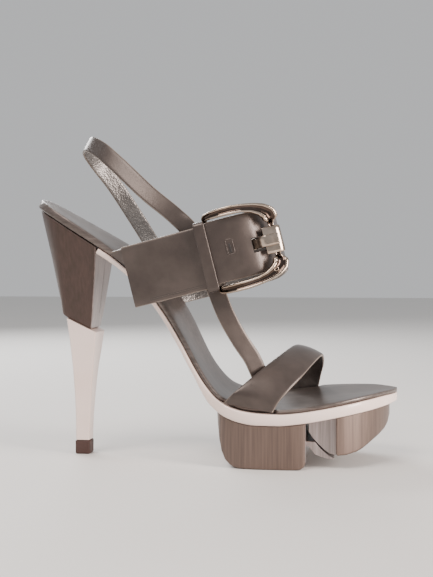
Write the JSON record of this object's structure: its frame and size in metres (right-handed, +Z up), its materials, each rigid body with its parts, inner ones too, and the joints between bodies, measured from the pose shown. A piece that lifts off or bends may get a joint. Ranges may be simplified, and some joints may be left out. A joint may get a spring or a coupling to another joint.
{
  "type": "high heel platform sandal",
  "caption": "Right high heel platform sandal with a square two-tone heel, split platform, toe strap, heel strap and a wide buckled ankle cuff",
  "frame": {"origin": "middle of the heel tip where it stands on the floor", "axes": "+X towards the toe, +Y towards the wearer's other foot (the inner side), +Z up"},
  "size_m": [0.1986, 0.0832, 0.1774],
  "materials": {
    "upper_leather": "taupe leather with a soft pearl sheen",
    "footbed": "taupe satin lining leather",
    "block_cover": "brown brushed satin leather cover",
    "pale_layer": "pale pink-white patent",
    "top_lift": "dark brown matt",
    "buckle_metal": "polished pale gunmetal"
  },
  "bodies": {
    "root": {"insole": "footbed", "midsole": "pale_layer", "platform_rear": "block_cover", "platform_front": "block_cover", "heel_cover": "block_cover", "heel_stem": "pale_layer", "top_lift": "top_lift", "toe_strap": "upper_leather", "heel_strap": "upper_leather", "cuff_base_strap": "upper_leather", "cuff_strap": "upper_leather", "keeper_loop": "upper_leather", "buckle_frame": "buckle_metal", "buckle_saddle": "buckle_metal", "buckle_prong": "buckle_metal"}
  },
  "joints": []
}
